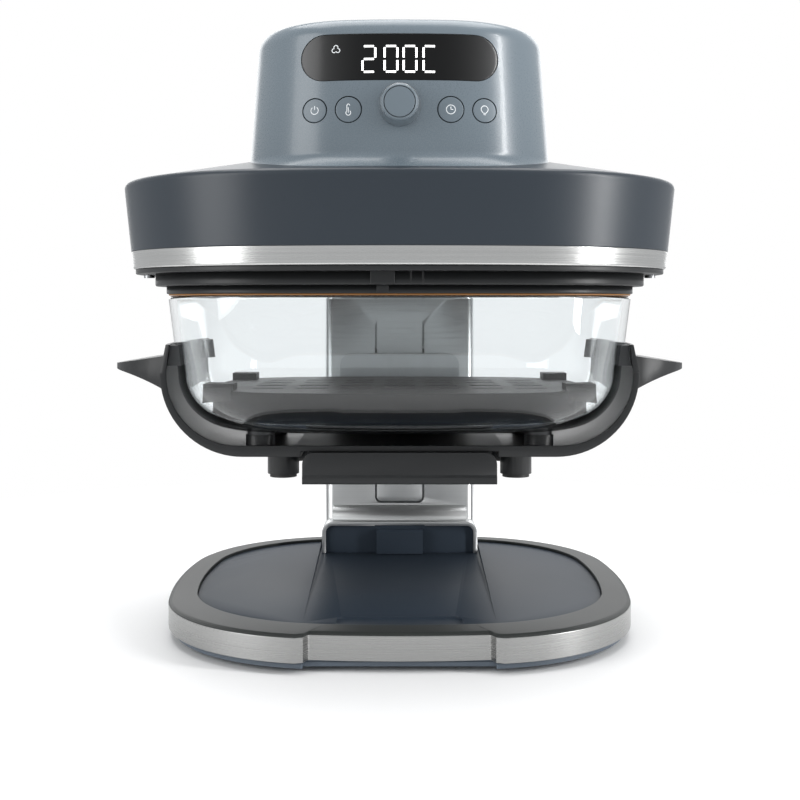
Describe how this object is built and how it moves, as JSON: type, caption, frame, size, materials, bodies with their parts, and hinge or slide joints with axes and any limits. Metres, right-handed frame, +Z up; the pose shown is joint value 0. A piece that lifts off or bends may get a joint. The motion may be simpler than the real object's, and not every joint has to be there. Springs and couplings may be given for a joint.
{
  "type": "glass air fryer",
  "caption": "Countertop air fryer: rounded base, rear column, oval heating head with dome controls, and a clear bowl in a U-shaped cradle on a lift platform, with a slotted crisper plate.",
  "frame": {"origin": "centre of the footprint of the whole appliance, on the surface its feet stand on", "axes": "+Z up; -Y is the front with the display; +X to the right as seen from behind the display, which is the viewer's right when facing the front"},
  "size_m": [0.366, 0.3, 0.366],
  "materials": {
    "band_steel": "brushed along the band",
    "column_steel": "brushed upright",
    "zinc_steel": "plated sheet",
    "screw_steel": "satin",
    "ballast_iron": "rough",
    "tray_plastic": "satin slate blue",
    "frame_plastic": "satin warm dark grey",
    "deck_plastic": "satin navy slate",
    "skirt_plastic": "satin dark slate blue",
    "dome_plastic": "gloss light blue grey",
    "button_plastic": "satin light blue grey",
    "charcoal_plastic": "satin charcoal",
    "black_plastic": "satin black",
    "display_gloss": "black mirror gloss",
    "board_green": "lacquered board",
    "rubber_black": "matt",
    "rubber_grey": "matt",
    "silicone_dark": "satin",
    "clear_glass": "polished clear",
    "pan_aluminium": "mill sheet",
    "dark_steel": "oxidised",
    "motor_paint": "satin black",
    "plate_coating": "dark non-stick coat",
    "acetal_white": "satin"
  },
  "bodies": {
    "fryer_body": {"base_tray": "tray_plastic", "base_feet": "rubber_black", "base_screws": "screw_steel", "base_ballast": "ballast_iron", "base_band": "band_steel", "base_frame": "frame_plastic", "base_deck": "deck_plastic", "column_foot_block": "deck_plastic", "column_shell": "column_steel", "column_back": "column_steel", "cord_gland": "rubber_black", "column_mast": "zinc_steel", "guide_channel": "zinc_steel", "head_skirt": "skirt_plastic", "head_band": "band_steel", "head_liner": "charcoal_plastic", "head_screws": "screw_steel", "seal_ring": "charcoal_plastic", "rim_gasket": "silicone_dark", "dome_cover": "dome_plastic", "display_lens": "display_gloss", "display_module": "black_plastic", "control_board": "board_green", "dial_encoder": "black_plastic", "heater_coil": "dark_steel", "heat_shield": "pan_aluminium", "heater_clips": "zinc_steel", "fan_guard": "dark_steel", "temperature_probe": "screw_steel", "lamp_lens": "clear_glass", "motor": "motor_paint", "motor_bracket": "zinc_steel"},
    "lift": {"lift_platform": "charcoal_plastic", "platform_pads": "rubber_black", "lift_lip": "charcoal_plastic", "lift_bracket": "zinc_steel", "slide_shoe": "black_plastic", "shoe_pads": "acetal_white", "lift_screws": "screw_steel"},
    "container": {"glass_container": "clear_glass", "cradle": "charcoal_plastic", "foot_tips": "rubber_black", "glass_pads": "rubber_grey", "ear_pads": "rubber_grey"},
    "crisper": {"crisper_plate": "plate_coating", "plate_bumpers": "rubber_black"},
    "fan": {"fan_shaft": "screw_steel", "hot_fan": "pan_aluminium", "cooling_fan": "black_plastic", "fan_nut": "screw_steel"},
    "dial_press": {"dial_plunger": "black_plastic"},
    "dial": {"dial_knob": "button_plastic", "dial_shaft": "screw_steel"},
    "power_key": {"power_button": "button_plastic"},
    "temp_key": {"temp_button": "button_plastic"},
    "time_key": {"time_button": "button_plastic"},
    "light_key": {"light_button": "button_plastic"}
  },
  "joints": [
    {"name": "lift_slide", "type": "slide", "parent": "fryer_body", "child": "lift", "axis": [0, 0, 1], "range_m": [-0.072, 0]},
    {"name": "container_draw", "type": "slide", "parent": "lift", "child": "container", "axis": [0, -1, 0], "range_m": [0, 0.3]},
    {"name": "crisper_lift", "type": "slide", "parent": "container", "child": "crisper", "axis": [0, 0, 1], "range_m": [0, 0.045]},
    {"name": "fan_spin", "type": "hinge", "parent": "fryer_body", "child": "fan", "pos_m": [0, -0.01, 0.27], "axis": [0, 0, 1], "continuous": true},
    {"name": "dial_push", "type": "slide", "parent": "fryer_body", "child": "dial_press", "axis": [0, 1, 0], "range_m": [0, 0.001], "stiffness_N_per_m": 2000, "springref_m": -0.001},
    {"name": "dial_turn", "type": "hinge", "parent": "dial_press", "child": "dial", "pos_m": [0, -0.13, 0.3125], "axis": [0, 1, 0], "continuous": true},
    {"name": "power_push", "type": "slide", "parent": "fryer_body", "child": "power_key", "axis": [0, 1, 0], "range_m": [0, 0.0008], "stiffness_N_per_m": 1500, "springref_m": -0.0008},
    {"name": "temp_push", "type": "slide", "parent": "fryer_body", "child": "temp_key", "axis": [0, 1, 0], "range_m": [0, 0.0008], "stiffness_N_per_m": 1500, "springref_m": -0.0008},
    {"name": "time_push", "type": "slide", "parent": "fryer_body", "child": "time_key", "axis": [0, 1, 0], "range_m": [0, 0.0008], "stiffness_N_per_m": 1500, "springref_m": -0.0008},
    {"name": "light_push", "type": "slide", "parent": "fryer_body", "child": "light_key", "axis": [0, 1, 0], "range_m": [0, 0.0008], "stiffness_N_per_m": 1500, "springref_m": -0.0008}
  ]
}
